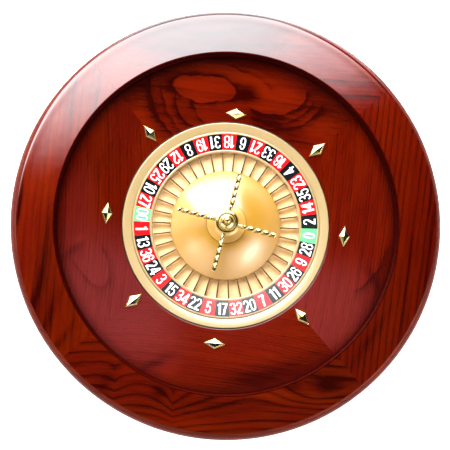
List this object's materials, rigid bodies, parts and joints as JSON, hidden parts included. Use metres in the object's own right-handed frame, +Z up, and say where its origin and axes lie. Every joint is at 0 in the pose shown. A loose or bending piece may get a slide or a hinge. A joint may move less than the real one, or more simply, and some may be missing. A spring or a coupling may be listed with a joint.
{
  "type": "roulette wheel",
  "caption": "Tabletop roulette wheel: mitred wooden bowl with a wide rim, and a gold rotor with pockets, a number band, a dome and a four-armed turret that spins on bearings.",
  "frame": {"origin": "centre of the circle that the rubber feet stand on, at the height of their undersides", "axes": "+Z up along the rotor's spin axis; +Y towards the bowl board named back, +X towards the one named right; the mitre joints lie at 45 degrees to X and Y"},
  "size_m": [0.5, 0.5, 0.103],
  "materials": {
    "rim_wood": "lacquered gloss",
    "bowl_wood": "lacquered gloss",
    "base_plywood": "bare",
    "rubber": "matte",
    "steel": "bright",
    "bearing_steel": "ground",
    "deflector_brass": "polished",
    "polished_brass": "polished",
    "satin_gold": "gold anodised, satin",
    "number_band": "enamel",
    "cast_alloy": "as cast"
  },
  "bodies": {
    "bowl": {"base_plate": "base_plywood", "foot_1": "rubber", "foot_screw_1": "steel", "foot_2": "rubber", "foot_screw_2": "steel", "foot_3": "rubber", "foot_screw_3": "steel", "foot_4": "rubber", "foot_screw_4": "steel", "bowl_board_back": "bowl_wood", "rim_board_back": "rim_wood", "bowl_board_left": "bowl_wood", "rim_board_left": "rim_wood", "bowl_board_front": "bowl_wood", "rim_board_front": "rim_wood", "bowl_board_right": "bowl_wood", "rim_board_right": "rim_wood", "deflector_1": "deflector_brass", "deflector_2": "deflector_brass", "deflector_3": "deflector_brass", "deflector_4": "deflector_brass", "deflector_5": "deflector_brass", "deflector_6": "deflector_brass", "deflector_7": "deflector_brass", "deflector_8": "deflector_brass", "spindle": "steel", "spindle_nut": "steel", "race_spacer": "steel", "spindle_screw_1": "steel", "spindle_screw_2": "steel", "spindle_screw_3": "steel", "lower_inner_race": "bearing_steel", "upper_inner_race": "bearing_steel"},
    "rotor": {"lower_outer_race": "bearing_steel", "upper_outer_race": "bearing_steel", "bearing_housing": "cast_alloy", "rotor_plate": "cast_alloy", "housing_screw_1": "steel", "housing_screw_2": "steel", "housing_screw_3": "steel", "housing_screw_4": "steel", "rotor_rim_ring": "satin_gold", "number_ring": "number_band", "fret_ring": "satin_gold", "dome": "satin_gold", "turret_base": "satin_gold", "turret_hub": "polished_brass", "turret_arm_1": "polished_brass", "turret_arm_2": "polished_brass", "turret_arm_3": "polished_brass", "turret_arm_4": "polished_brass", "turret_cap": "polished_brass", "finial": "polished_brass"},
    "lower_balls": {"lower_ball_cage": "bearing_steel"},
    "upper_balls": {"upper_ball_cage": "bearing_steel"}
  },
  "joints": [
    {"name": "rotor_spin", "type": "hinge", "parent": "bowl", "child": "rotor", "pos_m": [0, 0, 0.046], "axis": [0, 0, 1], "continuous": true},
    {"name": "lower_cage_spin", "type": "hinge", "parent": "bowl", "child": "lower_balls", "pos_m": [0, 0, 0.028], "axis": [0, 0, 1], "continuous": true},
    {"name": "upper_cage_spin", "type": "hinge", "parent": "bowl", "child": "upper_balls", "pos_m": [0, 0, 0.048], "axis": [0, 0, 1], "continuous": true}
  ],
  "couplings": [
    {"joint": "lower_cage_spin", "follows": "rotor_spin", "ratio": 0.5925},
    {"joint": "upper_cage_spin", "follows": "rotor_spin", "ratio": 0.5925}
  ]
}
